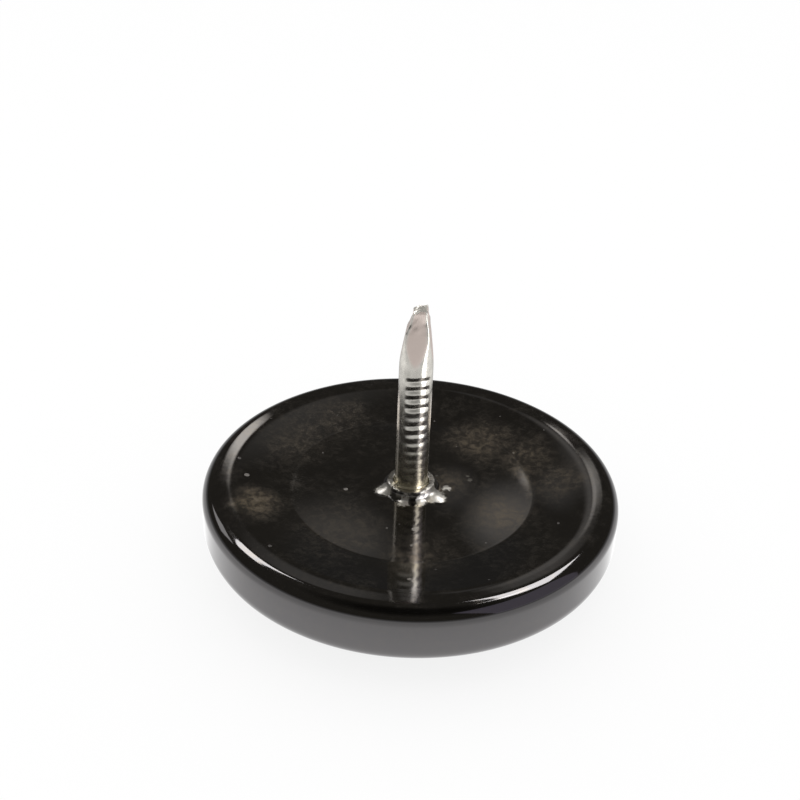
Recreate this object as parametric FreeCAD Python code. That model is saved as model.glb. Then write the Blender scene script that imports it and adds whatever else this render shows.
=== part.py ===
import FreeCAD, Part
import math
import os

# Nail on furniture glide: a stamped steel cup with a dished top, a nail
# through its middle and a felt pad held in its turned in rim.
# Millimetres, +Z up along the nail, origin in the middle of the felt's
# lower face, so the glide stands on its felt with the nail pointing up.

# Cup of sheet steel
sheet = 0.5                 # thickness of the sheet
rim_radius = 15.875         # outside of the rim, 1 1/4 inch across
rim_height = 4.9            # from the lip's underside to the crest
crest_bend = 1.15           # outside radius where the dish turns into the wall
heel_bend = 1.6             # outside radius where the wall turns under
dish_depth = 0.9            # from the crest down to the dish floor
dish_rise = 6.475           # from the rim's outside in to the foot of the dish
floor_bend = 1.2            # inside radius where the floor starts to rise
rim_width = 3.275           # seen from below, from the wall in to the lip's edge
lip_bend = 0.55             # outside radius of the turned up lip
lip_height = 0.95           # of the turned up edge, from its underside
band_drop = 0.4             # fall of the underside band from heel to lip

# Collar pierced and drawn up round the nail
collar_radius = 1.85        # outside of the collar
collar_height = 0.6         # above the dish floor
collar_bend = 0.5           # inside radius where the floor turns up

# Nail
shank_radius = 1.25
nail_reach = 15.2           # from the dish floor to the tip
neck_clearance = 0.03       # between the nail's neck and the collar
neck_taper = 0.1            # length of plain taper above the collar
head_radius = 4.0
head_thickness = 0.9
head_edge = 0.25            # slope of the head's lower edge
point_length = 4.1          # from the tip to the foot of its facets
point_width = 1.0           # across the flats of the blunt tip
point_faces = 4
point_turn = -4.0           # degrees, of the facets about the nail
point_drift = 0.12          # sideways shift of the tip, as cut
grip_depth = 0.14           # of the marks that the gripping dies press in
grip_pitch = 0.75
grip_land = 0.22            # plain band of shank between two marks
grip_half_angle = 46.0      # degrees, half of the sector that a die covers
grip_turn = 10.0            # degrees, of the marks about the nail
grip_start = 1.7            # first mark above the dish floor
grip_count = 12
grip_missed = 7             # this mark, counted up from 0, is left out: the dies slipped

# Felt pad
felt_proud = 2.2            # below the lip's underside
felt_edge_gap = 1.175       # between its edge and the wall, inside the cup
felt_dome_width = 4.1       # from the lip in to the face that it stands on
felt_dome_bands = 5         # straight bands that the dome is made of
felt_fullness = 0.55        # how square the dome's shoulder is, 0 to 1
felt_clearance = 0.1        # to the lip and the nail's head

# Levels and radii that several pieces share
lip_z = felt_proud
crest_z = lip_z + rim_height
floor_z = crest_z - dish_depth
seat_z = floor_z - sheet
tip_z = floor_z + nail_reach
collar_top_z = floor_z + collar_height
lip_top_z = lip_z + lip_height
hole_radius = collar_radius - sheet
floor_radius = rim_radius - dish_rise
lip_radius = rim_radius - rim_width
felt_radius = rim_radius - sheet - felt_edge_gap
felt_flat_radius = lip_radius - felt_dome_width


def at(r, z):
    """A point of a section, r from the nail's axis and z up."""
    return FreeCAD.Vector(r, 0, z)


def turned(edges):
    """The solid that a closed section makes when it turns about the nail's axis."""
    face = Part.Face(Part.Wire(edges))
    return face.revolve(FreeCAD.Vector(0, 0, 0), FreeCAD.Vector(0, 0, 1), 360)


def closed(points):
    """Straight edges from point to point and back to the first."""
    return [Part.LineSegment(a, b).toShape() for a, b in zip(points, points[1:] + points[:1])]


def sheet_side(points, bends, shift):
    """One side of a bent sheet, shifted to the left of its middle line.

    points are the ends and sharp corners of the middle line, and bends the
    radii of the middle line's bends at those corners.
    """
    runs = [(b - a).normalize() for a, b in zip(points, points[1:])]
    lefts = [FreeCAD.Vector(-run.z, 0, run.x) for run in runs]
    edges = []
    here = points[0] + lefts[0] * shift
    for number, (corner, bend) in enumerate(zip(points[1:-1], bends)):
        before, after = runs[number], runs[number + 1]
        both = lefts[number] + lefts[number + 1]
        moved = corner + both * (2 * shift / both.Length ** 2)
        turn = before.getAngle(after)
        to_left = lefts[number].dot(after) > 0
        radius = bend - shift if to_left else bend + shift
        reach = radius * math.tan(turn / 2)
        enter = moved - before * reach
        leave = moved + after * reach
        inward = (after - before).normalize()
        middle = moved + inward * (radius / math.cos(turn / 2) - radius)
        edges.append(Part.LineSegment(here, enter).toShape())
        edges.append(Part.Arc(enter, middle, leave).toShape())
        here = leave
    edges.append(Part.LineSegment(here, points[-1] + lefts[-1] * shift).toShape())
    return edges


def bent_sheet(points, bends):
    """The closed section of a sheet bent along a middle line, with square ends."""
    left = sheet_side(points, bends, sheet / 2)
    right = sheet_side(points, bends, -sheet / 2)
    far_end = Part.LineSegment(left[-1].lastVertex().Point, right[-1].lastVertex().Point).toShape()
    near_end = Part.LineSegment(right[0].firstVertex().Point, left[0].firstVertex().Point).toShape()
    return left + [far_end] + right[::-1] + [near_end]


def dish_corner(foot, wall_radius):
    """Where the rising dish would meet the wall, if the crest were sharp.

    The dish runs from its foot, tangent to the bend at the crest.
    """
    bend = crest_bend - sheet / 2
    centre = at(rim_radius - crest_bend, crest_z - crest_bend)
    run = centre - foot
    rise = math.atan2(run.z, run.x) + math.asin(bend / run.Length)
    return at(wall_radius, foot.z + (wall_radius - foot.x) * math.tan(rise))


def make_shell():
    half = sheet / 2
    wall_radius = rim_radius - half
    collar_line = collar_radius - half
    floor_line = floor_z - half
    lip_line = lip_z + half
    foot = at(floor_radius, floor_line)
    lip_corner = at(lip_radius + half, lip_line)
    points = [
        at(collar_line, collar_top_z),
        at(collar_line, floor_line),
        foot,
        dish_corner(foot, wall_radius),
        at(wall_radius, lip_line + band_drop),
        lip_corner,
        at(lip_radius + half, lip_top_z),
    ]
    bends = [
        collar_bend + half,
        floor_bend + half,
        crest_bend - half,
        heel_bend - half,
        lip_bend - half,
    ]
    return turned(bent_sheet(points, bends))


def grip_comb():
    """A ring with one tooth for each die mark, off centre to one side of the shank.

    Its teeth are deepest in the middle of the die's sector and run out at
    the sector's edges.
    """
    fall = shank_radius * (1 - math.cos(math.radians(grip_half_angle)))
    offset = (2 * shank_radius - grip_depth) * grip_depth / (2 * (fall - grip_depth))
    surface = shank_radius + offset
    half_mark = (grip_pitch - grip_land) / 2
    flank = grip_depth / half_mark
    half_tooth = half_mark + grip_land / 4
    root = surface + flank * grip_land / 4
    rim = root + shank_radius
    first = floor_z + grip_start
    points = []
    for number in range(grip_count):
        if number == grip_missed:
            continue
        middle = first + grip_pitch * number
        points.append(at(root, middle - half_tooth))
        points.append(at(surface - grip_depth, middle))
        points.append(at(root, middle + half_tooth))
    points.append(at(rim, middle + half_tooth))
    points.append(at(rim, first - half_tooth))
    comb = turned(closed(points))
    comb.translate(FreeCAD.Vector(-offset, 0, 0))
    return comb


def point_wire(z, share):
    """The outline of the diamond point at height z; share is 1 at its foot and 0 at the tip."""
    across = point_width / 2 + (shank_radius - point_width / 2) * share
    corner = across / math.cos(math.pi / point_faces)
    centre = FreeCAD.Vector(point_drift * (1 - share), 0, z)
    corners = []
    for number in range(point_faces):
        angle = math.radians(point_turn) + math.pi * (2 * number + 1) / point_faces
        corners.append(centre + FreeCAD.Vector(corner * math.cos(angle), corner * math.sin(angle), 0))
    return Part.Wire(closed(corners))


def make_nail():
    head_z = seat_z - head_thickness
    neck_radius = hole_radius - neck_clearance
    shank_z = collar_top_z + neck_taper
    lower = turned(closed([
        at(head_radius, head_z + head_edge),
        at(head_radius, seat_z),
        at(neck_radius, seat_z),
        at(neck_radius, floor_z),
        at(shank_radius, shank_z),
        at(0, shank_z),
        at(0, head_z),
        at(head_radius - head_edge, head_z),
    ]))

    shank = Part.makeCylinder(shank_radius, tip_z - shank_z, FreeCAD.Vector(0, 0, shank_z))
    whole_share = (tip_z - shank_z) / point_length
    point = Part.makeLoft([point_wire(shank_z, whole_share), point_wire(tip_z, 0)], True, True)
    shank = shank.common(point)
    nail = lower.fuse(shank).removeSplitter()

    for side in (-90, 90):
        comb = grip_comb()
        comb.rotate(FreeCAD.Vector(0, 0, 0), FreeCAD.Vector(0, 0, 1), side + grip_turn)
        nail = nail.cut(comb)
    return nail


def make_felt_pad():
    neck_radius = lip_radius - felt_clearance
    shoulder_z = lip_top_z + felt_clearance
    pocket_radius = head_radius + felt_clearance
    pocket_z = seat_z - head_thickness
    handle_z = lip_z * (1 - felt_fullness)
    handle_radius = felt_flat_radius + (neck_radius - felt_flat_radius) * felt_fullness
    dome = Part.BezierCurve()
    dome.setPoles([
        at(neck_radius, lip_z),
        at(neck_radius, handle_z),
        at(handle_radius, 0),
        at(felt_flat_radius, 0),
    ])
    inside = [
        at(0, 0),
        at(0, pocket_z),
        at(pocket_radius, pocket_z),
        at(pocket_radius, seat_z),
        at(felt_radius, seat_z),
        at(felt_radius, shoulder_z),
        at(neck_radius, shoulder_z),
    ]
    return turned(closed(dome.discretize(felt_dome_bands + 1) + inside))


os.makedirs("parts", exist_ok=True)
for name, make in (("shell", make_shell), ("nail", make_nail), ("felt_pad", make_felt_pad)):
    piece = make()
    solid = piece.Solids[0]
    print(name, "valid", piece.isValid(), "solids", len(piece.Solids), "volume", round(piece.Volume, 3))
    solid.exportStep("parts/" + name + ".step")
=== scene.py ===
"""Finish and studio for a nail on furniture glide, built round its three solids.

The glide is a stamped cup with a dished top, a nail through its middle and a
thick felt pad. Lengths are in metres, +Z is up along the nail, and the glide
stands on its felt at the origin.
"""

import math
import random
from functools import reduce

import bmesh
import bpy
from bpy.props import FloatProperty, FloatVectorProperty, IntProperty, PointerProperty
from mathutils import Matrix, Vector, noise


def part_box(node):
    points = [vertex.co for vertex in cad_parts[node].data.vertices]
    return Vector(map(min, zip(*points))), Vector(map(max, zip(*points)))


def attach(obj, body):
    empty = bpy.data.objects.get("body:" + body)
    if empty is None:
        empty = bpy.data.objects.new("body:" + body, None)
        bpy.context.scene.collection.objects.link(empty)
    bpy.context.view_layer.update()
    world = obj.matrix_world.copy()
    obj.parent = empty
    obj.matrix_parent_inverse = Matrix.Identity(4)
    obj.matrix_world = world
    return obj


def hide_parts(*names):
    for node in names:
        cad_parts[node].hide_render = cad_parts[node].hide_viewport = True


bl_info = {
    "name": "Nail on furniture glide",
    "version": (1, 0, 0),
    "blender": (4, 5, 0),
    "location": "3D View > Sidebar > Glide",
    "description": "Models, finishes and lights the cup, nail and felt of a furniture glide",
    "category": "Object",
}

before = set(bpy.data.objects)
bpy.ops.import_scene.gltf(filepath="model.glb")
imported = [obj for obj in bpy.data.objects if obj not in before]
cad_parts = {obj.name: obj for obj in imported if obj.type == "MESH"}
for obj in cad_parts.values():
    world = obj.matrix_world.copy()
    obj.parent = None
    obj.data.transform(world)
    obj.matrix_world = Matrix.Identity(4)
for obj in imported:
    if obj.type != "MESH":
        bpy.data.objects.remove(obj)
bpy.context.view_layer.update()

MM = 0.001
cup_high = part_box("shell")[1]
nail_low, nail_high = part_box("nail")
felt_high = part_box("felt_pad")[1]

# Between the felt and the lip, or the nail's head
FELT_CLEARANCE = 0.1 * MM
WHITE = (1, 1, 1, 1)

# Fixes the vector noise, which takes its seed from the clock otherwise
NOISE_SEED = 1795996867


def length(name, description, millimetres):
    """A size that a user would change, shown in the scene's length unit."""
    return FloatProperty(
        name=name, description=description, default=millimetres * MM, min=0, precision=6,
        subtype="DISTANCE", unit="LENGTH",
    )


def amount(name, description, default):
    return FloatProperty(name=name, description=description, default=default)


def count(name, description, default):
    return IntProperty(name=name, description=description, default=default)


def colour(name, description, default):
    return FloatVectorProperty(
        name=name, description=description, default=default, min=0, max=1, size=3, subtype="COLOR"
    )


class GlideCup(bpy.types.PropertyGroup):
    sheet: length("Sheet", "Thickness of the steel", 0.5)
    rim_height: length("Rim height", "From the lip's underside up to the crest", 4.9)
    rim_width: length("Rim width", "From the wall in to the lip's edge, seen from below", 3.275)
    crest_bend: length("Crest bend", "Outside radius where the crest turns into the wall", 1.15)
    crest_width: length("Crest width", "From the wall in to where the dish starts to fall", 2.2)
    crest_fall: length("Crest fall", "How much lower the crest is at its inner edge", 0.05)
    crest_blend: length("Crest blend", "Radius of the soft bend at the crest's inner edge", 4.0)
    heel_bend: length("Heel bend", "Outside radius where the wall turns under", 1.6)
    lip_bend: length("Lip bend", "Outside radius of the turned up lip", 0.55)
    lip_height: length("Lip height", "Of the turned up edge", 0.95)
    band_drop: length("Band drop", "Fall of the underside from heel to lip", 0.4)
    dish_rise: length("Dish rise", "From the outside in to the foot of the dish", 6.475)
    floor_bend: length("Floor bend", "Radius where the dish starts to rise", 1.2)
    collar_radius: length("Collar radius", "Outside of the collar round the nail", 1.85)
    collar_height: length("Collar height", "Above the dish floor", 0.6)
    collar_bend: length("Collar bend", "Radius where the floor turns up", 0.5)
    ripple: length("Ripple", "How far the pressed surface wanders from true", 0.012)
    plate: colour("Plate", "Black nickel", (0.155, 0.15, 0.152))
    # Also the colour of the handling marks, which are partly painted reflection
    film: colour("Film", "Handling marks on the plate", (0.3, 0.25, 0.19))
    bare: colour("Bare", "Steel where the plate is scuffed round the collar", (0.8, 0.77, 0.72))
    dust: colour("Dust", "Pale specks that lie in the dish", (0.42, 0.39, 0.36))


class GlideNail(bpy.types.PropertyGroup):
    shank_radius: length("Shank radius", "Of the wire", 1.25)
    point_length: length("Point length", "From the tip to the foot of its facets", 4.1)
    point_width: length("Point width", "Across the flats of the blunt tip", 1.15)
    point_drift: length("Point drift", "Sideways shift of the tip, as cut", 0.05)
    point_turn: amount("Point turn", "Degrees, of the facets about the nail", -4.0)
    grip_depth: length("Grip depth", "Of the marks that the gripping dies press in", 0.14)
    grip_pitch: length("Grip pitch", "From mark to mark", 0.75)
    grip_start: length("Grip start", "First mark above the dish floor", 1.7)
    grip_count: count("Grip count", "Marks on each side", 12)
    grip_missed: count("Grip missed", "Faint mark, counted up from 0", 7)
    grip_half_angle: amount("Grip sector", "Degrees, half of a die's sector", 46.0)
    grip_turn: amount("Grip turn", "Degrees, of the marks about the nail", 10.0)
    steel: colour("Steel", "Bright plated wire", (0.9, 0.87, 0.8))
    brassy: colour("Brassy steel", "Tint of the wire near the cup", (0.85, 0.75, 0.45))
    sheared: colour("Sheared steel", "Bare steel of the cut facets", (0.95, 0.82, 0.75))


class GlideFelt(bpy.types.PropertyGroup):
    flat_radius: length("Flat radius", "Of the face that it stands on", 8.5)
    fullness: amount("Fullness", "How square the dome's shoulder is", 0.55)
    nub: length("Nub", "Size of the woolly nubs", 1.3)
    nub_height: length("Nub height", "From the nubs down to the pits", 0.85)
    fibre: length("Fibre", "Thickness of a loose curl of wool", 0.07)
    fibre_count: count("Fibres", "Curls in each layer", 2000)
    dark: colour("Dark wool", "Darkest fibres", (0.045, 0.047, 0.05))
    light: colour("Light wool", "Lightest fibres", (0.8, 0.8, 0.77))


class GlideStage(bpy.types.PropertyGroup):
    floor: colour("Floor", "Pale paper", (0.95, 0.95, 0.95))
    room: colour("Room", "Dark room that the metal mirrors", (0.065, 0.06, 0.05))
    level: amount("Level", "Even light from all round", 0.95)
    top_level: amount("Top level", "Soft light from above", 0.3)
    box_level: amount("Softbox level", "Brightness that the metal mirrors", 4.5)
    card_level: amount("Card level", "Brightness of the card at the right", 0.25)
    bleach: amount("Bleach", "How far the paper's shadows are lifted", 0.84)


class Value:
    """A number that varies over a surface: a node's output, with arithmetic."""

    def __init__(self, paint, socket):
        self.paint = paint
        self.socket = socket

    def __add__(self, other):
        return self.paint.maths("ADD", self, other)

    def __sub__(self, other):
        return self.paint.maths("SUBTRACT", self, other)

    def __mul__(self, other):
        return self.paint.maths("MULTIPLY", self, other)

    def __truediv__(self, other):
        return self.paint.maths("DIVIDE", self, other)

    def __rsub__(self, other):
        return self.paint.maths("SUBTRACT", other, self)

    def __gt__(self, other):
        return self.paint.maths("GREATER_THAN", self, other)

    def __lt__(self, other):
        return self.paint.maths("LESS_THAN", self, other)

    __radd__ = __add__
    __rmul__ = __mul__


class Paint:
    """A node tree and the short ways to fill it."""

    def __init__(self, owner):
        owner.use_nodes = True
        self.nodes = owner.node_tree.nodes
        self.links = owner.node_tree.links
        self.nodes.clear()

    def node(self, kind, settings=None, inputs=None, output=0):
        """A node with its settings made first, then its sockets' values or links."""
        made = self.nodes.new("ShaderNode" + kind)
        for name, value in (settings or {}).items():
            if name == "stops":
                self.set_stops(made.color_ramp, value)
            else:
                setattr(made, name, value)
        for name, value in (inputs or {}).items():
            if isinstance(value, Value):
                self.links.new(value.socket, made.inputs[name])
            else:
                made.inputs[name].default_value = value
        return Value(self, made.outputs[output])

    @staticmethod
    def set_stops(ramp, stops):
        while len(ramp.elements) < len(stops):
            ramp.elements.new(1)
        for element, (place, shade) in zip(ramp.elements, stops):
            element.position = place
            element.color = (*shade, 1) if isinstance(shade, tuple) else (shade, shade, shade, 1)

    def maths(self, operation, *numbers):
        return self.node("Math", {"operation": operation}, dict(enumerate(numbers)))

    def vectors(self, operation, *inputs, output="Vector"):
        return self.node("VectorMath", {"operation": operation}, dict(enumerate(inputs)), output)

    def distance(self, first, second):
        return self.vectors("DISTANCE", first, second, output="Value")

    def ramp(self, factor, stops):
        return self.node("ValToRGB", {"stops": stops}, {"Fac": factor})

    def fade(self, value, start, end, first=1.0, last=0.0, kind="LINEAR"):
        """A number that goes from first to last while value goes from start to end."""
        return self.node("MapRange", {"interpolation_type": kind}, {
            "Value": value, "From Min": start, "From Max": end, "To Min": first, "To Max": last,
        })

    def strongest(self, values):
        return reduce(lambda most, value: self.maths("MAXIMUM", most, value), values)

    def attribute(self, name):
        return self.node("Attribute", {"attribute_name": name}, output="Fac")

    def place(self):
        return self.node("TexCoord", output="Object")

    def part(self, vector, axis):
        return self.node("SeparateXYZ", inputs={"Vector": vector}, output=axis)

    def grain(self, size, detail=3.0, roughness=0.55, stretch=(1, 1, 1), distortion=0.0):
        """Cloudy noise with features of about size, stretched by the given factors."""
        scale = tuple(1 / (size * factor) for factor in stretch)
        mapped = self.node("Mapping", inputs={"Vector": self.place(), "Scale": scale})
        return self.node("TexNoise", inputs={
            "Vector": mapped, "Scale": 1.0, "Detail": detail, "Roughness": roughness,
            "Distortion": distortion,
        })

    def blend(self, factor, first, second, kind="MIX"):
        """A colour between two colours, or another blend of them."""
        settings = {"data_type": "RGBA", "blend_type": kind}
        return self.node("Mix", settings, {0: factor, 6: first, 7: second}, output=2)

    def bump(self, strength, distance, height):
        inputs = {"Strength": strength, "Distance": distance, "Height": height}
        return self.node("Bump", inputs=inputs)

    def light(self, kind, shade, strength):
        """A shader of the kind Emission or Background."""
        return self.node(kind, inputs={"Color": shade, "Strength": strength})

    def mix(self, factor, first, second):
        """A shader between two shaders."""
        return self.node("MixShader", inputs={0: factor, 1: first, 2: second})

    def seen(self, kind):
        """1 for rays of a kind, such as Camera."""
        return self.node("LightPath", output="Is %s Ray" % kind)

    def mirrored(self):
        """1 for rays that metal or glass sends out."""
        return self.strongest([self.seen("Glossy"), self.seen("Transmission")])

    def finish(self, shader, kind="Material"):
        end = self.nodes.new("ShaderNodeOutput" + kind)
        self.links.new(shader.socket, end.inputs["Surface"])


def solid(shade):
    """A colour with its alpha, for a node's socket."""
    return (*shade, 1)


def new_material(name, fill):
    """A material whose surface the function fill paints."""
    material = bpy.data.materials.new(name)
    paint = Paint(material)
    paint.finish(fill(paint))
    return material


def specks(paint, cell, largest, share):
    """Round specks: one in some of the cells, each up to the largest radius."""
    scattered = {"feature": "F1", "voronoi_dimensions": "3D"}
    inputs = {"Vector": paint.place(), "Scale": 1 / cell}
    reach = paint.node("TexVoronoi", scattered, inputs, output="Distance")
    draw = paint.node("TexVoronoi", scattered, inputs, output="Color")
    chosen = paint.part(draw, 0) < share
    return (reach < paint.part(draw, 1) * (largest / cell)) * chosen


# Handling marks on the dish, partly real film and partly painted reflection: the middle of each
# and its reach in mm, and its strength
FILM_AND_REFLECTION_PATCHES = (
    ((-11.3, -3.6), 2.6, 1.3),
    ((-6.0, 9.0), 3.4, 0.35),
    ((9.2, 4.2), 3.4, 0.7),
    ((-9.0, 5.4), 4.0, 0.35),
    ((5.6, 6.6), 3.8, 0.9),
    ((6.6, -3.2), 3.0, 0.5),
    ((11.2, 1.0), 3.2, 0.45),
    ((2.4, 0.6), 2.6, 0.6),
    ((-5.5, -6.2), 4.6, 0.3),
    ((0.8, -8.5), 3.4, 0.4),
)


def film_and_reflection(paint):
    """How much of the handling marks a place on the dish has, with ragged borders. The marks are
    partly film and partly painted reflection.
    """
    ragged = (paint.grain(2.2 * MM, 4, 0.6) - 0.5) * 2.0
    marks = []
    for (x, y), reach, strength in FILM_AND_REFLECTION_PATCHES:
        away = paint.distance(paint.place(), (x * MM, y * MM, floor_high())) / (reach * MM)
        marks.append(paint.fade(away + ragged * 0.35, 0.2, 1.1, strength, kind="SMOOTHSTEP"))
    return paint.strongest(marks)


# Burrs round the collar: the middle of each, its reach and its height in mm
BURRS = (
    ((-1.9, -0.7), 0.8, 0.17),
    ((1.85, -1.35), 0.9, 0.18),
    ((0.8, -2.15), 0.5, 0.04),
    ((-0.5, -2.25), 0.5, 0.03),
    ((2.75, -0.1), 0.35, 0.04),
)


def scuffed(paint, collar_radius):
    """How bare the plate is: on the collar, on the burrs round it and in spots beside it."""
    flat = paint.vectors("MULTIPLY", paint.place(), (1, 1, 0))
    ragged = (paint.grain(0.4 * MM, 3, 0.6) - 0.5) * (0.9 * MM)

    def within(x, y, reach, soft):
        """1 within reach of a place in mm, 0 outside, with a soft border."""
        away = paint.distance(flat, (x * MM, y * MM, 0)) + ragged
        return paint.fade(away, (reach - soft) * MM, (reach + soft) * MM)

    collar = within(0, 0, collar_radius / MM, 0.1) * 0.6
    burrs = [within(x, y, reach * 0.9, 0.12) for (x, y), reach, _ in BURRS]
    spots = specks(paint, 0.62 * MM, 0.3 * MM, 0.4) * within(3.2, 0.9, 2.3, 0.3) * 0.35
    return paint.strongest([collar] + burrs + [spots])


def floor_high():
    """The height of the dish's flat floor."""
    return felt_high.z + bpy.context.scene.glide_cup.sheet


def black_nickel(settings):
    """Polished black nickel over steel, with handling marks that are partly painted reflection, a
    mottled film and a little dust.
    """
    def fill(paint):
        upward = paint.part(paint.node("NewGeometry", output="Normal"), 2) > 0.93
        cloud = paint.grain(0.6 * MM, 5, 0.75, distortion=0.6)
        mottle = paint.ramp(cloud, [(0.44, 0.0), (0.6, 1.0)])
        blotch = paint.ramp(paint.grain(2.6 * MM, 4, 0.6), [(0.42, 0.0), (0.62, 1.0)])
        # Handling marks on the upward faces: partly real film, partly painted reflection on the
        # dish
        marks = film_and_reflection(paint) * upward
        haze = mottle * blotch * upward * 0.2 + 0.03 * mottle
        film = marks * (0.4 + mottle * 0.65) + haze
        dust = specks(paint, 0.9 * MM, 0.16 * MM, 0.16) * upward
        grit = specks(paint, 2.6 * MM, 0.26 * MM, 0.2) * upward
        soil = paint.strongest([dust * 0.35, grit * 0.6])
        orange_peel = paint.grain(0.5 * MM, 2)
        bare = scuffed(paint, settings.collar_radius)
        dents = paint.grain(0.45 * MM, 2) * bare
        relief = orange_peel + soil * 2 + film * 0.6 + dents * 18
        filmed = paint.blend(film, solid(settings.plate), solid(settings.film))
        worn = paint.blend(bare, filmed, solid(settings.bare))
        return paint.node("BsdfPrincipled", inputs={
            "Base Color": paint.blend(soil, worn, solid(settings.dust)),
            "Metallic": (1 - film * 0.16) * (1 - soil * 0.7),
            "Roughness": 0.05 + blotch * 0.03 + film * 0.1 + soil * 0.3 + bare * 0.28,
            "Normal": paint.bump(0.05, 0.02 * MM, relief),
        })
    return new_material("black_nickel", fill)


def bright_wire(settings):
    """Bright plated wire, drawn along its length, with bare sheared steel at the point."""
    def fill(paint):
        cut = paint.attribute("cut")
        drawn = paint.grain(0.12 * MM, 3, 0.6, stretch=(1, 1, 14))
        worn = paint.ramp(paint.grain(0.9 * MM, 4, 0.6) + cut * 0.3, [(0.35, 0.75), (0.65, 1.0)])
        height = paint.part(paint.place(), 2)
        low = paint.fade(height, 6.5 * MM, 11 * MM)
        torn = paint.fade(height, nail_high.z - 0.9 * MM, nail_high.z - 0.4 * MM, 0.0, 1.0)
        plated = paint.blend(low * 0.6, solid(settings.steel), solid(settings.brassy))
        toned = paint.blend(cut, plated, solid(settings.sheared))
        relief = drawn * (1 - torn) + paint.grain(0.25 * MM, 3) * 0.5
        return paint.node("BsdfPrincipled", inputs={
            "Base Color": paint.blend(1.0, toned, worn, "MULTIPLY"),
            "Metallic": 1 - torn * 0.3,
            "Roughness": 0.15 + paint.grain(0.5 * MM, 3) * 0.2 + cut * 0.16,
            "Normal": paint.bump(0.18, 0.02 * MM, relief),
        })
    return new_material("bright_wire", fill)


def wool(name, settings, shade_of):
    """Heather wool: each fibre or fleck has its own grey."""
    def fill(paint):
        grey = paint.ramp(shade_of(paint), [
            (0.0, tuple(settings.dark)),
            (0.4, (0.27, 0.278, 0.285)),
            (0.72, (0.52, 0.525, 0.52)),
            (1.0, tuple(settings.light)),
        ])
        cool, warm = (0.88, 0.96, 1.0), (1.0, 0.98, 0.9)
        tint = paint.ramp(paint.grain(0.7 * MM, 2), [(0.35, cool), (0.65, warm)])
        return paint.node("BsdfPrincipled", inputs={
            "Base Color": paint.blend(1.0, grey, tint, "MULTIPLY"),
            "Roughness": 0.9,
            "Sheen Weight": 0.25,
            "Sheen Roughness": 0.5,
            "Normal": paint.bump(0.5, 0.03 * MM, paint.grain(0.08 * MM, 3)),
        })
    return new_material(name, fill)


def new_mesh(name, bm, material):
    """A mesh that takes over a bmesh."""
    mesh = bpy.data.meshes.new(name)
    bm.to_mesh(mesh)
    bm.free()
    mesh.materials.append(material)
    return mesh


def new_object(name, data):
    """An object in the scene."""
    made = bpy.data.objects.new(name, data)
    bpy.context.scene.collection.objects.link(made)
    return made


def finish_piece(name, bm, material, node=None):
    """Turns a bmesh into a piece that rides on the glide and may stand for one of the solids."""
    mesh = new_mesh(name, bm, material)
    mesh.shade_smooth()
    piece = new_object(name, mesh)
    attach(piece, "root")
    if node:
        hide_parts(node)
    return piece


def run_to(bm, tip, goal, step):
    """Edges from the vertex tip straight to goal, in even steps of about the given length."""
    start = tip.co.copy()
    steps = max(1, round((goal - start).length / step))
    for number in range(1, steps + 1):
        tip = bmesh.ops.extrude_vert_indiv(bm, verts=[tip])["verts"][0]
        tip.co = start.lerp(goal, number / steps)
    return tip


def turn_about(bm, tip, centre, axis, angle, steps):
    """Edges from the vertex tip along an arc."""
    swept = bmesh.ops.spin(bm, geom=[tip], cent=centre, axis=axis, angle=angle, steps=steps)
    return next(item for item in swept["geom_last"] if isinstance(item, bmesh.types.BMVert))


def at(r, z):
    """A point of a section, r from the nail's axis and z up."""
    return Vector((r, 0, z))


def bent_line(bm, points, bends, run_step, bend_step):
    """A line of straight runs joined by tangent arcs, one at each inner point."""
    tip = bm.verts.new(points[0])
    for before, corner, after, bend in zip(points, points[1:], points[2:], bends):
        back = (before - corner).normalized()
        ahead = (after - corner).normalized()
        half = back.angle(ahead) / 2
        centre = corner + (back + ahead).normalized() * bend / math.sin(half)
        enter = corner + back * bend / math.tan(half)
        leave = corner + ahead * bend / math.tan(half)
        turn = math.pi - 2 * half
        tip = run_to(bm, tip, enter, run_step)
        axis = (enter - centre).cross(leave - centre).normalized()
        tip = turn_about(bm, tip, centre, axis, turn, max(2, round(turn / bend_step)))
    return run_to(bm, tip, points[-1], run_step)


def spin_round(bm, segments):
    """Turns the whole section about the nail's axis and closes it."""
    bmesh.ops.spin(
        bm, geom=bm.verts[:] + bm.edges[:], cent=(0, 0, 0), axis=(0, 0, 1),
        angle=2 * math.pi, steps=segments, use_merge=True,
    )
    bmesh.ops.remove_doubles(bm, verts=bm.verts[:], dist=0.001 * MM)
    bmesh.ops.recalc_face_normals(bm, faces=bm.faces[:])


def wander(place, size, seed):
    """A smooth random vector for a place, with features of about the given size."""
    return noise.noise_vector(place / size + Vector((seed, 0, 0)))


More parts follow.
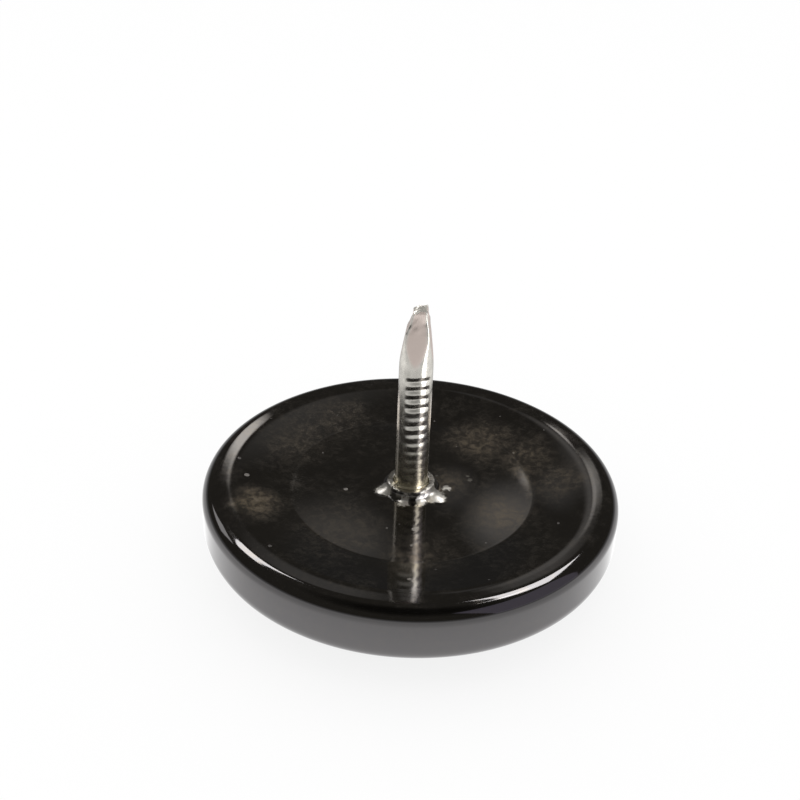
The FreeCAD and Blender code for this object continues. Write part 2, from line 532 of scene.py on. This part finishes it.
class GLIDE_OT_cup(bpy.types.Operator):
    """Presses the steel cup: collar, dish, crest, wall, heel and lip from one sheet"""

    bl_idname = "glide.cup"
    bl_label = "Cup"

    segments = 256
    run_step = 0.2 * MM
    bend_step = math.radians(4)
    edge_rounding = 0.2 * MM
    edge_steps = 4
    sharp_angle = math.radians(60)
    ripple_size = 6 * MM
    burr_margin = 0.1 * MM

    def execute(self, context):
        cup = context.scene.glide_cup
        half = cup.sheet / 2
        rim_radius, crest_z = cup_high.x, cup_high.z
        floor_line = felt_high.z + half
        collar_line = cup.collar_radius - half
        wall_line = rim_radius - half
        lip_line = crest_z - cup.rim_height + half
        lip_radius = rim_radius - cup.rim_width + half
        brow = at(rim_radius - cup.crest_width, crest_z - half - cup.crest_fall)
        points = [
            at(collar_line, floor_line + half + cup.collar_height),
            at(collar_line, floor_line),
            at(rim_radius - cup.dish_rise, floor_line),
            brow,
            self.crest_corner(cup, brow, wall_line),
            at(wall_line, lip_line + cup.band_drop),
            at(lip_radius, lip_line),
            at(lip_radius, lip_line - half + cup.lip_height),
        ]
        bends = [
            cup.collar_bend + half,
            cup.floor_bend + half,
            cup.crest_blend - half,
            cup.crest_bend - half,
            cup.heel_bend - half,
            cup.lip_bend - half,
        ]
        bm = bmesh.new()
        bent_line(bm, points, bends, self.run_step, self.bend_step)
        spin_round(bm, self.segments)
        for vertex in bm.verts:
            vertex.co += wander(vertex.co, self.ripple_size, 3.1) * cup.ripple
            if vertex.co.z > floor_line - self.burr_margin:
                vertex.co.z += self.burr(vertex.co)
        piece = finish_piece("cup", bm, black_nickel(cup), "shell")
        walls = piece.modifiers.new("sheet", "SOLIDIFY")
        walls.thickness = cup.sheet
        walls.offset = 0
        walls.use_even_offset = True
        edges = piece.modifiers.new("edges", "BEVEL")
        edges.width = self.edge_rounding
        edges.segments = self.edge_steps
        edges.limit_method = "ANGLE"
        edges.angle_limit = self.sharp_angle
        return {"FINISHED"}

    @staticmethod
    def burr(place):
        """How far the burrs round the collar raise a place."""
        raised = 0
        for (x, y), reach, height in BURRS:
            away = math.hypot(place.x - x * MM, place.y - y * MM) / (reach * MM)
            raised += height * MM * max(0, 1 - away ** 2) ** 2
        return raised

    @staticmethod
    def crest_corner(cup, brow, wall_line):
        """Where the crest would meet the wall, if its outer bend were sharp."""
        bend = cup.crest_bend - cup.sheet / 2
        run = at(cup_high.x - cup.crest_bend, cup_high.z - cup.crest_bend) - brow
        rise = math.atan2(run.z, run.x) + math.asin(bend / run.length)
        return at(wall_line, brow.z + (wall_line - brow.x) * math.tan(rise))


class GLIDE_OT_nail(bpy.types.Operator):
    """Cuts the nail: head, neck, shank with die marks, and the diamond point"""

    bl_idname = "glide.nail"
    bl_label = "Nail"

    segments = 112
    row = 0.065 * MM
    neck_row = 0.3 * MM
    tip_row = 0.12 * MM
    neck_clearance = 0.03 * MM
    neck_taper = 0.1 * MM
    head_edge = 0.25 * MM

    # Places of the die marks in pitches, and their depths as shares
    mark_waver = 0.08
    mark_bow = 0.1
    mark_shift = 0.05
    mark_reach = 0.42
    first_depth = 0.3
    full_depth_from = 7
    missed_depth = 0.3

    # Facets of the point, and how far its end is torn, from the tip down
    point_faces = 4
    edge_hardness = 26
    facets_from = 1.6
    torn_fall = 2.4
    torn_size = 0.6 * MM
    torn_height = 0.14 * MM
    bite_in = 0.3
    bite_down = 0.5

    def execute(self, context):
        nail = context.scene.glide_nail
        cup = context.scene.glide_cup
        seat_z = felt_high.z
        floor_z = seat_z + cup.sheet
        neck_radius = cup.collar_radius - cup.sheet - self.neck_clearance
        neck_top = floor_z + cup.collar_height
        shank_z = neck_top + self.neck_taper
        head_radius = nail_high.x
        tip_z = nail_high.z
        bm = bmesh.new()
        tip = bm.verts.new(at(0, nail_low.z))
        for goal, step in (
            (at(head_radius - self.head_edge, nail_low.z), head_radius),
            (at(head_radius, nail_low.z + self.head_edge), head_radius),
            (at(head_radius, seat_z), head_radius),
            (at(neck_radius, seat_z), head_radius),
            (at(neck_radius, neck_top), self.neck_row),
            (at(nail.shank_radius, shank_z), self.row),
            (at(nail.shank_radius, tip_z), self.row),
            (at(0, tip_z), self.tip_row),
        ):
            tip = run_to(bm, tip, goal, step)
        spin_round(bm, self.segments)
        cut = bm.verts.layers.float.new("cut")
        for vertex in bm.verts:
            if vertex.co.z > shank_z:
                self.press(nail, vertex, floor_z)
                vertex[cut] = self.shear(nail, vertex, tip_z)
        bmesh.ops.recalc_face_normals(bm, faces=bm.faces[:])
        finish_piece("nail_wire", bm, bright_wire(nail), "nail")
        return {"FINISHED"}

    def press(self, nail, vertex, floor_z):
        """Moves a vertex of the shank in by the die marks on its two sides."""
        place = vertex.co
        angle = math.degrees(math.atan2(place.x, -place.y)) - nail.grip_turn
        off = abs((angle + 90) % 180 - 90) / nail.grip_half_angle
        uneven = noise.noise(Vector((place.x * 900, place.y * 900, place.z * 500)))
        height = (place.z - floor_z - nail.grip_start) / nail.grip_pitch
        height = height + self.mark_waver * uneven + self.mark_bow * off
        mark = round(height)
        if off >= 1 or not 0 <= mark < nail.grip_count:
            return
        share = max(0, 1 - abs(height - mark + self.mark_shift) / self.mark_reach)
        pressed = 0.65 + 0.3 * noise.noise(Vector((mark * 1.7, 0.3, 9)))
        depth = nail.grip_depth * (1 - off ** 4) * pressed
        grown = min(1, mark / self.full_depth_from)
        depth *= self.first_depth + (1 - self.first_depth) * grown
        if mark == nail.grip_missed:
            depth *= self.missed_depth
        scale = 1 - depth * share / nail.shank_radius
        place.x *= scale
        place.y *= scale

    def shear(self, nail, vertex, tip_z):
        """Draws a vertex in to the facets of the point, and says how bare that leaves it."""
        place = vertex.co
        share = (tip_z - place.z) / nail.point_length
        if share > self.facets_from:
            return 0.0
        across = nail.point_width / 2 + (nail.shank_radius - nail.point_width / 2) * share
        centre = Vector((nail.point_drift * (1 - min(share, 1)), 0, place.z))
        offset = place - centre
        reaches = []
        for number in range(self.point_faces):
            angle = math.radians(nail.point_turn) + 2 * math.pi * number / self.point_faces
            reach = offset.x * math.cos(angle) + offset.y * math.sin(angle)
            reaches.append(max(0, reach / across))
        total = 1 + sum(reach ** self.edge_hardness for reach in reaches)
        drawn = total ** (-1 / self.edge_hardness)
        vertex.co = centre + offset * drawn
        torn = max(0, 1 - share * self.torn_fall)
        vertex.co += wander(vertex.co, self.torn_size, 7.7) * (self.torn_height * torn)
        left = min(0, vertex.co.x - centre.x)
        vertex.co.x -= left * self.bite_in * torn
        vertex.co.z += left * self.bite_down * torn
        second, first = sorted(reaches)[-2:]
        flat = min(1, max(0, (0.86 - second / max(first, 0.001)) * 5))
        return min(1, max(0, (1 - drawn) * 30 - 0.3)) * flat


def lip_low():
    """The height of the lip's underside."""
    return cup_high.z - bpy.context.scene.glide_cup.rim_height


def felt_neck():
    """The felt's radius where it passes the lip."""
    return cup_high.x - bpy.context.scene.glide_cup.rim_width - FELT_CLEARANCE


class GLIDE_OT_felt(bpy.types.Operator):
    """Presses the felt pad, with its nubs and pits"""

    bl_idname = "glide.felt"
    bl_label = "Felt pad"

    segments = 400
    fine = 0.2 * MM
    coarse = 3 * MM
    bulge = 0.35 * MM

    def execute(self, context):
        felt = context.scene.glide_felt
        lip_z = lip_low()
        neck_radius = felt_neck()
        shoulder_z = lip_z + context.scene.glide_cup.lip_height + FELT_CLEARANCE
        pocket_radius = nail_high.x + FELT_CLEARANCE
        bm = bmesh.new()
        tip = bm.verts.new(at(0, 0))
        for goal, step in (
            [(point, self.fine) for point in dome_points(felt)]
            + [
                (at(neck_radius, shoulder_z), self.fine),
                (at(felt_high.x, shoulder_z), self.coarse),
                (at(felt_high.x, felt_high.z), self.coarse),
                (at(pocket_radius, felt_high.z), self.coarse),
                (at(pocket_radius, nail_low.z), self.coarse),
                (at(0, nail_low.z), self.coarse),
            ]
        ):
            tip = run_to(bm, tip, goal, step)
        spin_round(bm, self.segments)
        bm.normal_update()
        for vertex, way in [(vertex, vertex.normal.copy()) for vertex in bm.verts]:
            if vertex.co.z < lip_z:
                bulge = self.bulge * (1 - abs(way.z))
                vertex.co += way * (nub_height(felt, vertex.co) + bulge)
                vertex.co.z = max(vertex.co.z, 0)
        material = wool("wool_nubs", felt, nub_shade)
        piece = finish_piece("felt_nubs", bm, material, "felt_pad")
        return {"FINISHED"}


def dome_points(felt, steps=24):
    """The felt's outline from the edge of its flat face, round the shoulder, up to the lip."""
    lip_z = lip_low()
    neck_radius = felt_neck()
    handle_z = lip_z * (1 - felt.fullness)
    handle_radius = felt.flat_radius + (neck_radius - felt.flat_radius) * felt.fullness
    knots = [
        at(felt.flat_radius, 0),
        at(handle_radius, 0),
        at(neck_radius, handle_z),
        at(neck_radius, lip_z),
    ]
    points = []
    for number in range(steps + 1):
        t = number / steps
        weights = ((1 - t) ** 3, 3 * t * (1 - t) ** 2, 3 * t * t * (1 - t), t ** 3)
        points.append(sum((knot * weight for knot, weight in zip(knots, weights)), Vector()))
    return points


def nub_height(felt, place):
    """How far the woolly surface stands off the plain dome, most of it below 0."""
    bent = place + wander(place, felt.nub, 2.2) * (0.35 * felt.nub)
    reach = noise.voronoi(bent / felt.nub)[0][0]
    curl = noise.noise(place / (0.32 * MM))
    return 0.12 * MM * curl - felt.nub_height * reach


def nub_shade(paint):
    """Flecks of light and dark wool on the pad, over broad lighter and darker patches."""
    fleck = paint.grain(0.22 * MM, 4, 0.7, distortion=1.5)
    patch = paint.grain(1.6 * MM, 2)
    return fleck * 1.3 + patch * 0.35 - 0.48


def fibre_shade(paint):
    return paint.attribute("shade")


class GLIDE_OT_curls(bpy.types.Operator):
    """Scatters curls of wool over the felt"""

    bl_idname = "glide.curls"
    bl_label = "Wool curls"

    layers = 4
    knots = 9

    # Ranges in mm, of the length from knot to knot, of how far a curl stands off
    # the felt in its middle, and of how far it may stray beyond the felt's outline
    step_range = (0.13, 0.3)
    lift_range = (0.0, 0.5)
    stray_range = (0.1, 0.35)
    stray_growth = 0.1

    # Radians, of the turn at each knot and how much it varies
    bend_range = (-1.25, 1.25)
    bend_change = 0.4

    def execute(self, context):
        felt = context.scene.glide_felt
        dome = [at(0, 0)] + dome_points(felt)
        chance = random.Random(11)
        material = wool("wool_curls", felt, fibre_shade)
        for layer in range(self.layers):
            curve = bpy.data.curves.new("curls", "CURVE")
            curve.dimensions = "3D"
            curve.bevel_depth = felt.fibre / 2
            curve.bevel_resolution = 0
            curve.use_fill_caps = True
            shades = []
            for _ in range(felt.fibre_count):
                spline = curve.splines.new("POLY")
                points = self.curl(felt, dome, chance)
                spline.points.add(len(points) - 1)
                for knot, point in zip(spline.points, points):
                    knot.co = (*point, 1)
                shades.append(chance.random() ** 1.1)
            self.finish(curve, shades, layer, material)
        return {"FINISHED"}

    def curl(self, felt, dome, chance):
        """Points along one curl, which starts on the felt and winds over it."""
        place, way = self.start(dome, chance)
        side = way.orthogonal().normalized()
        side.rotate(Matrix.Rotation(chance.uniform(0, 2 * math.pi), 3, way))
        step = chance.uniform(*self.step_range) * MM
        bend = chance.uniform(*self.bend_range)
        lift = chance.uniform(*self.lift_range) * MM
        place = place + way * nub_height(felt, place)
        stray = chance.uniform(*self.stray_range) * MM
        points = []
        for number in range(self.knots):
            share = number / (self.knots - 1)
            height = lift * math.sin(math.pi * share)
            point = place + way * height
            point.z = max(point.z, felt.fibre)
            widest = next(knot.x for knot in dome if knot.z >= point.z or knot is dome[-1])
            beyond = math.hypot(point.x, point.y) - widest
            beyond -= stray * (1 + self.stray_growth * number)
            if beyond > 0:
                point -= Vector((point.x, point.y, 0)).normalized() * beyond
            points.append(point)
            turn = bend + chance.uniform(-self.bend_change, self.bend_change)
            side.rotate(Matrix.Rotation(turn, 3, way))
            place = place + side * step
        return points

    @staticmethod
    def start(dome, chance):
        """A random place on the felt's plain form, and the way out of it there."""
        lengths = [(b - a).length * (a.x + b.x) for a, b in zip(dome, dome[1:])]
        draw = chance.uniform(0, sum(lengths))
        for a, b, size in zip(dome, dome[1:], lengths):
            if draw <= size:
                break
            draw -= size
        low, high = a.x ** 2, b.x ** 2
        r = math.sqrt(chance.uniform(low, high)) if high != low else a.x
        share = (r - a.x) / (b.x - a.x) if b.x != a.x else chance.random()
        turn = Matrix.Rotation(chance.uniform(0, 2 * math.pi), 3, "Z")
        along = (b - a).normalized()
        way = Vector((along.z, 0, -along.x))
        return turn @ a.lerp(b, share), turn @ way

    def finish(self, curve, shades, layer, material):
        """Turns a layer of curls into a piece, each curl with a shade of its own."""
        holder = bpy.data.objects.new("curls", curve)
        mesh = bpy.data.meshes.new_from_object(holder)
        bpy.data.objects.remove(holder)
        bpy.data.curves.remove(curve)
        bm = bmesh.new()
        bm.from_mesh(mesh)
        bpy.data.meshes.remove(mesh)
        shade = bm.verts.layers.float.new("shade")
        each = len(bm.verts) // len(shades)
        for number, vertex in enumerate(bm.verts):
            vertex[shade] = shades[min(number // each, len(shades) - 1)]
        piece = finish_piece("wool_curls_%d" % (layer + 1), bm, material)


# Glow cards: the middle and the width and height in mm, and the brightness
CARDS = (
    ("glow_crest_left", (-17, 45, 35.6), (6.6, 8.2), 2.3),
    ("glow_crest_right", (18.8, 45, 39), (5.4, 7), 1.0),
    ("glow_crest_back", (15.4, 45, 35.4), (3.6, 4), 1.8),
    ("glow_floor_left", (-9, 45, 48), (20, 19), 0.2),
    ("glow_floor_right", (13.5, 45, 42.5), (14, 14), 0.34),
    ("glow_slope", (6, 45, 38), (7, 8), 0.14),
    ("glow_slope_front", (0, 45, 26), (26, 9), 0.06),
)


def towards(azimuth, elevation):
    """The direction at an azimuth from +Y to +X and an elevation, in degrees."""
    a, e = math.radians(azimuth), math.radians(elevation)
    return Vector((math.sin(a) * math.cos(e), math.cos(a) * math.cos(e), math.sin(e)))


class GLIDE_OT_stage(bpy.types.Operator):
    """Lays the floor and sets the lights, the room and the camera"""

    bl_idname = "glide.stage"
    bl_label = "Stage"

    light_distance = 250 * MM
    floor_radius = 900 * MM
    camera_tilt = 30.84
    camera_roll = 2.21
    camera_distance = 90 * MM
    camera_lens = 52.9
    aim_right = 0.86 * MM
    aim_up = -5.83 * MM
    side_level = 1.0
    card_tint = (0.82, 0.76, 1.0)
    glow_tint = (1, 0.97, 0.9)
    nail_lamp_place = (11.3, -8.5, 16.5)
    nail_lamp_size = (5.6, 19)
    nail_lamp_level = 3.2

    def execute(self, context):
        stage = context.scene.glide_stage
        self.lay_floor(stage)
        self.make_room(context, stage)
        self.softbox("softbox_left", (-39, 50), (25, 9), stage.box_level)
        self.softbox("softbox_right", (38, 57), (29, 14), stage.box_level, roll=-28)
        self.softbox("softbox_side", (-56, 33), (16, 12), self.side_level)
        card = self.softbox("card_right", (115, 32), (50, 50), stage.card_level)
        card.color = self.card_tint
        self.softbox("overhead", (0, 84), (70, 70), stage.top_level, glossy=False)
        beside = Vector(self.nail_lamp_place) * MM
        lamp_size = [side * MM for side in self.nail_lamp_size]
        self.lamp("softbox_nail", beside, towards(125, 0), lamp_size, self.nail_lamp_level)
        for name, place, size, level in CARDS:
            self.glow_card(name, Vector(place) * MM, Vector(size) * MM, level)
        self.set_camera(context)
        context.scene.view_settings.view_transform = "Standard"
        return {"FINISHED"}

    def lay_floor(self, stage):
        bm = bmesh.new()
        bmesh.ops.create_circle(bm, cap_ends=True, segments=64, radius=self.floor_radius)
        paper = new_material("paper", lambda paint: self.paper(paint, stage))
        new_object("floor", new_mesh("floor", bm, paper))

    def paper(self, paint, stage):
        """Pale paper. Rays from metal see a glow in place of the lit paper: painted light that is
        brightest next to the glide and fades with distance, with painted shade in front of the
        glide and towards the back.
        """
        away = paint.vectors("LENGTH", paint.place(), output="Value")
        # Painted light: how bright the paper glows in reflections, brightest next to the glide
        # and fading with distance
        mirrored = paint.ramp(paint.fade(away, 0.0, 120 * MM, 0.0, 1.0), [
            (0.0, 1.05), (0.17, 0.95), (0.21, 0.72), (0.28, 0.62),
            (0.4, 0.56), (0.65, 0.6), (1.0, 0.5),
        ])
        # Painted shade by direction: the glow is darker in front, where the glide's shadow falls,
        # darkest towards the back and lightest at the sides
        to_back = paint.part(paint.place(), 1) / away * 0.5 + 0.5
        side = paint.ramp(to_back, [
            (0.0, 0.5), (0.25, 0.54), (0.5, 0.74), (0.8, 0.6), (0.97, 0.36),
        ])
        shaded = paint.node("BsdfDiffuse", inputs={"Color": solid(stage.floor)})
        white = paint.light("Emission", WHITE, 1.0)
        plain = paint.mix(paint.seen("Camera") * stage.bleach, shaded, white)
        # Rays from metal and glass see the painted glow, not the lit paper
        return paint.mix(paint.mirrored(), plain, paint.light("Emission", mirrored, side * 2))

    def make_room(self, context, stage):
        world = bpy.data.worlds.new("studio")
        context.scene.world = world
        paint = Paint(world)
        way = paint.node("TexCoord", output="Generated")
        height = paint.part(way, 2) * 0.5 + 0.5
        room = tuple(stage.room)
        mirrored = paint.ramp(height, [
            (0.0, 0.45), (0.49, 0.45), (0.52, 0.3), (0.56, 0.16), (0.6, room), (1.0, room),
        ])
        to_dark = paint.vectors("DOT_PRODUCT", way, towards(180, 72), output="Value")
        shade = paint.ramp(to_dark, [(0.8, 1.0), (0.97, 0.25)])
        even = paint.light("Background", WHITE, stage.level)
        dark = paint.light("Background", mirrored, shade)
        white = paint.light("Background", WHITE, 1.0)
        lit = paint.mix(paint.mirrored(), even, dark)
        paint.finish(paint.mix(paint.seen("Camera"), lit, white), "World")

    def glow_card(self, name, place, size, level):
        """A soft glow that only metal mirrors, like pale things that stand near the glide."""
        wide, high = size
        bm = bmesh.new()
        bmesh.ops.create_circle(bm, cap_ends=True, segments=32, radius=1)
        bmesh.ops.scale(bm, verts=bm.verts[:], vec=(wide / 2, high / 2, 1))
        upright = Matrix.Rotation(math.radians(90), 3, "X")
        bmesh.ops.rotate(bm, verts=bm.verts[:], matrix=upright)
        bmesh.ops.translate(bm, verts=bm.verts[:], vec=place)

        def fill(paint):
            offset = paint.vectors("SUBTRACT", paint.place(), place)
            scaled = paint.vectors("MULTIPLY", offset, (2 / wide, 2 / wide, 2 / high))
            away = paint.vectors("LENGTH", scaled, output="Value")
            glow = paint.light("Emission", solid(self.glow_tint), level)
            fade = paint.ramp(away, [(0.4, 1.0), (1.0, 0.0)])
            return paint.mix(fade, paint.node("BsdfTransparent"), glow)

        card = new_object(name, new_mesh(name, bm, new_material(name, fill)))
        for ray in ("camera", "diffuse", "transmission", "shadow"):
            setattr(card, "visible_" + ray, False)

    def softbox(self, name, place, spread, level, glossy=True, roll=0):
        """A light at an azimuth and elevation that fills two angles, seen from the glide."""
        size = [
            2 * self.light_distance * math.tan(math.radians(angle / 2)) for angle in spread
        ]
        way = towards(*place)
        return self.lamp(name, way * self.light_distance, way, size, level, glossy, roll)

    @staticmethod
    def lamp(name, location, way, size, level, glossy=True, roll=0):
        """A rectangular light of a width and height, whose back faces the direction way."""
        lamp = bpy.data.lights.new(name, "AREA")
        lamp.shape = "RECTANGLE"
        lamp.size, lamp.size_y = size
        lamp.energy = level * math.pi * lamp.size * lamp.size_y
        light = new_object(name, lamp)
        light.location = location
        turn = Matrix.Rotation(math.radians(roll), 3, "Z")
        light.rotation_euler = (way.to_track_quat("Z", "Y").to_matrix() @ turn).to_euler()
        light.visible_camera = False
        light.visible_diffuse = not glossy
        light.visible_glossy = glossy
        return lamp

    def set_camera(self, context):
        tilt, roll = math.radians(self.camera_tilt), math.radians(self.camera_roll)
        forward = Vector((0, math.cos(tilt), -math.sin(tilt)))
        up = Vector((0, math.sin(tilt), math.cos(tilt)))
        right = Vector((1, 0, 0))
        turned_right = right * math.cos(roll) + up * math.sin(roll)
        turned_up = up * math.cos(roll) - right * math.sin(roll)
        crest = Vector((0, 0, cup_high.z))
        lens = bpy.data.cameras.new("camera")
        lens.lens = self.camera_lens
        lens.sensor_width = 36
        lens.clip_start = 1 * MM
        lens.clip_end = 5
        camera = new_object("camera", lens)
        columns = Matrix((turned_right, turned_up, -forward)).transposed()
        place = crest - turned_right * self.aim_right - turned_up * self.aim_up
        place -= forward * self.camera_distance
        camera.matrix_world = Matrix.Translation(place) @ columns.to_4x4()
        context.scene.camera = camera


class GLIDE_PT_panel(bpy.types.Panel):
    """Lists the glide's sizes, colours and steps"""

    bl_idname = "GLIDE_PT_panel"
    bl_label = "Furniture glide"
    bl_space_type = "VIEW_3D"
    bl_region_type = "UI"
    bl_category = "Glide"

    def draw(self, context):
        for group, steps in GROUPS:
            box = self.layout.box()
            settings = getattr(context.scene, group)
            for name in settings.__annotations__:
                box.prop(settings, name)
            for step in steps:
                box.operator("glide." + step)


GROUPS = (
    ("glide_cup", ("cup",)),
    ("glide_nail", ("nail",)),
    ("glide_felt", ("felt", "curls")),
    ("glide_stage", ("stage",)),
)

CLASSES = (
    GlideCup, GlideNail, GlideFelt, GlideStage,
    GLIDE_OT_cup, GLIDE_OT_nail, GLIDE_OT_felt, GLIDE_OT_curls, GLIDE_OT_stage,
    GLIDE_PT_panel,
)


def register():
    noise.seed_set(NOISE_SEED)
    for item in CLASSES:
        bpy.utils.register_class(item)
    bpy.types.Scene.glide_cup = PointerProperty(type=GlideCup)
    bpy.types.Scene.glide_nail = PointerProperty(type=GlideNail)
    bpy.types.Scene.glide_felt = PointerProperty(type=GlideFelt)
    bpy.types.Scene.glide_stage = PointerProperty(type=GlideStage)


def unregister():
    for group, _ in GROUPS:
        delattr(bpy.types.Scene, group)
    for item in reversed(CLASSES):
        bpy.utils.unregister_class(item)


def main():
    register()
    for _, steps in GROUPS:
        for step in steps:
            getattr(bpy.ops.glide, step)()


if __name__ == "__main__":
    main()
